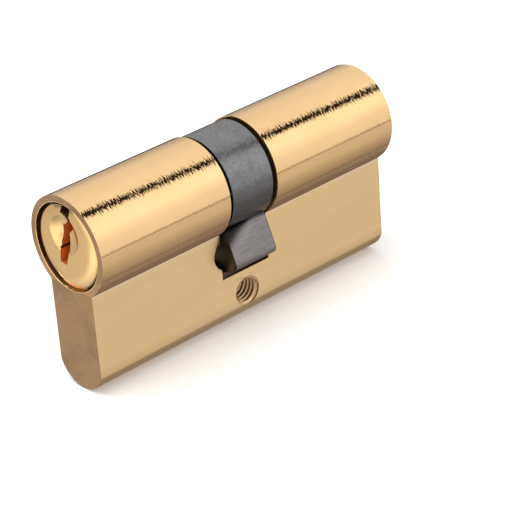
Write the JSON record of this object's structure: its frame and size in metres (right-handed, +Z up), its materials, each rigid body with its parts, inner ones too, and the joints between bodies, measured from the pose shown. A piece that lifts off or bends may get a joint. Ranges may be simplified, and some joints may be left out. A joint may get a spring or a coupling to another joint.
{
  "type": "euro profile double cylinder",
  "caption": "Brass euro profile door-lock cylinder, keyed on both ends, with a round head over a flat bible, pin tumblers, two plugs, a clutch and a central cam lever.",
  "frame": {"origin": "middle of the fixing-screw hole, on the mid-plane of the bible and midway between the two end faces", "axes": "X along the plugs with the front (pictured) key side at -X, Y across the bible along the fixing screw, Z up with the bible pointing down"},
  "size_m": [0.062, 0.0168, 0.033],
  "materials": {
    "body_brass": "polished round head, satin brushed bible sides and ends",
    "plug_brass": "polished",
    "cam_steel": "dark grey sintered steel, matte",
    "clutch_steel": "sintered steel",
    "circlip_steel": "dark spring steel",
    "spring_wire": "bright spring wire",
    "pin_brass": "turned",
    "driver_steel": "turned nickel silver",
    "seal_brass": "pressed in and faced flush"
  },
  "bodies": {
    "body": {"body": "body_brass", "seals_front": "seal_brass", "seals_rear": "seal_brass", "spring_f1": "spring_wire", "spring_f2": "spring_wire", "spring_f3": "spring_wire", "spring_f4": "spring_wire", "spring_f5": "spring_wire", "spring_r1": "spring_wire", "spring_r2": "spring_wire", "spring_r3": "spring_wire", "spring_r4": "spring_wire", "spring_r5": "spring_wire"},
    "plug_front": {"plug_front": "plug_brass", "circlip_front": "circlip_steel"},
    "plug_rear": {"plug_rear": "plug_brass", "circlip_rear": "circlip_steel"},
    "cam": {"cam": "cam_steel"},
    "clutch_front": {"clutch_front": "clutch_steel", "clutch_spring": "spring_wire"},
    "clutch_rear": {"clutch_rear": "clutch_steel"},
    "key_pin_f1": {"key_pin_f1": "pin_brass"},
    "key_pin_f2": {"key_pin_f2": "pin_brass"},
    "key_pin_f3": {"key_pin_f3": "pin_brass"},
    "key_pin_f4": {"key_pin_f4": "pin_brass"},
    "key_pin_f5": {"key_pin_f5": "pin_brass"},
    "key_pin_r1": {"key_pin_r1": "pin_brass"},
    "key_pin_r2": {"key_pin_r2": "pin_brass"},
    "key_pin_r3": {"key_pin_r3": "pin_brass"},
    "key_pin_r4": {"key_pin_r4": "pin_brass"},
    "key_pin_r5": {"key_pin_r5": "pin_brass"},
    "driver_f1": {"driver_f1": "driver_steel"},
    "driver_f2": {"driver_f2": "driver_steel"},
    "driver_f3": {"driver_f3": "driver_steel"},
    "driver_f4": {"driver_f4": "driver_steel"},
    "driver_f5": {"driver_f5": "driver_steel"},
    "driver_r1": {"driver_r1": "driver_steel"},
    "driver_r2": {"driver_r2": "driver_steel"},
    "driver_r3": {"driver_r3": "driver_steel"},
    "driver_r4": {"driver_r4": "driver_steel"},
    "driver_r5": {"driver_r5": "driver_steel"}
  },
  "joints": [
    {"name": "plug_front_turn", "type": "hinge", "parent": "body", "child": "plug_front", "pos_m": [-0.018, 0, 0.0189], "axis": [1, 0, 0], "continuous": true},
    {"name": "plug_rear_turn", "type": "hinge", "parent": "body", "child": "plug_rear", "pos_m": [0.018, 0, 0.0189], "axis": [1, 0, 0], "continuous": true},
    {"name": "cam_turn", "type": "hinge", "parent": "body", "child": "cam", "pos_m": [0, 0, 0.0189], "axis": [1, 0, 0], "continuous": true},
    {"name": "clutch_front_slide", "type": "slide", "parent": "plug_front", "child": "clutch_front", "axis": [1, 0, 0], "range_m": [-0.0016, 0]},
    {"name": "clutch_rear_slide", "type": "slide", "parent": "plug_rear", "child": "clutch_rear", "axis": [1, 0, 0], "range_m": [-0.0016, 0], "deforming": ["clutch_spring"]},
    {"name": "key_pin_f1_lift", "type": "slide", "parent": "plug_front", "child": "key_pin_f1", "axis": [0, 0, 1], "range_m": [0, 0.0024]},
    {"name": "driver_f1_drop", "type": "slide", "parent": "body", "child": "driver_f1", "axis": [0, 0, -1], "range_m": [0, 0.003], "stiffness_N_per_m": 100, "springref_m": -0.004, "deforming": ["spring_f1"]},
    {"name": "key_pin_f2_lift", "type": "slide", "parent": "plug_front", "child": "key_pin_f2", "axis": [0, 0, 1], "range_m": [0, 0.0016]},
    {"name": "driver_f2_drop", "type": "slide", "parent": "body", "child": "driver_f2", "axis": [0, 0, -1], "range_m": [0, 0.003], "stiffness_N_per_m": 100, "springref_m": -0.004, "deforming": ["spring_f2"]},
    {"name": "key_pin_f3_lift", "type": "slide", "parent": "plug_front", "child": "key_pin_f3", "axis": [0, 0, 1], "range_m": [0, 0.002]},
    {"name": "driver_f3_drop", "type": "slide", "parent": "body", "child": "driver_f3", "axis": [0, 0, -1], "range_m": [0, 0.003], "stiffness_N_per_m": 100, "springref_m": -0.004, "deforming": ["spring_f3"]},
    {"name": "key_pin_f4_lift", "type": "slide", "parent": "plug_front", "child": "key_pin_f4", "axis": [0, 0, 1], "range_m": [0, 0.0011]},
    {"name": "driver_f4_drop", "type": "slide", "parent": "body", "child": "driver_f4", "axis": [0, 0, -1], "range_m": [0, 0.003], "stiffness_N_per_m": 100, "springref_m": -0.004, "deforming": ["spring_f4"]},
    {"name": "key_pin_f5_lift", "type": "slide", "parent": "plug_front", "child": "key_pin_f5", "axis": [0, 0, 1], "range_m": [0, 0.0017]},
    {"name": "driver_f5_drop", "type": "slide", "parent": "body", "child": "driver_f5", "axis": [0, 0, -1], "range_m": [0, 0.003], "stiffness_N_per_m": 100, "springref_m": -0.004, "deforming": ["spring_f5"]},
    {"name": "key_pin_r1_lift", "type": "slide", "parent": "plug_rear", "child": "key_pin_r1", "axis": [0, 0, 1], "range_m": [0, 0.0024]},
    {"name": "driver_r1_drop", "type": "slide", "parent": "body", "child": "driver_r1", "axis": [0, 0, -1], "range_m": [0, 0.003], "stiffness_N_per_m": 100, "springref_m": -0.004, "deforming": ["spring_r1"]},
    {"name": "key_pin_r2_lift", "type": "slide", "parent": "plug_rear", "child": "key_pin_r2", "axis": [0, 0, 1], "range_m": [0, 0.0016]},
    {"name": "driver_r2_drop", "type": "slide", "parent": "body", "child": "driver_r2", "axis": [0, 0, -1], "range_m": [0, 0.003], "stiffness_N_per_m": 100, "springref_m": -0.004, "deforming": ["spring_r2"]},
    {"name": "key_pin_r3_lift", "type": "slide", "parent": "plug_rear", "child": "key_pin_r3", "axis": [0, 0, 1], "range_m": [0, 0.002]},
    {"name": "driver_r3_drop", "type": "slide", "parent": "body", "child": "driver_r3", "axis": [0, 0, -1], "range_m": [0, 0.003], "stiffness_N_per_m": 100, "springref_m": -0.004, "deforming": ["spring_r3"]},
    {"name": "key_pin_r4_lift", "type": "slide", "parent": "plug_rear", "child": "key_pin_r4", "axis": [0, 0, 1], "range_m": [0, 0.0011]},
    {"name": "driver_r4_drop", "type": "slide", "parent": "body", "child": "driver_r4", "axis": [0, 0, -1], "range_m": [0, 0.003], "stiffness_N_per_m": 100, "springref_m": -0.004, "deforming": ["spring_r4"]},
    {"name": "key_pin_r5_lift", "type": "slide", "parent": "plug_rear", "child": "key_pin_r5", "axis": [0, 0, 1], "range_m": [0, 0.0017]},
    {"name": "driver_r5_drop", "type": "slide", "parent": "body", "child": "driver_r5", "axis": [0, 0, -1], "range_m": [0, 0.003], "stiffness_N_per_m": 100, "springref_m": -0.004, "deforming": ["spring_r5"]}
  ],
  "couplings": [
    {"joint": "cam_turn", "follows": "plug_front_turn", "ratio": 1}
  ]
}
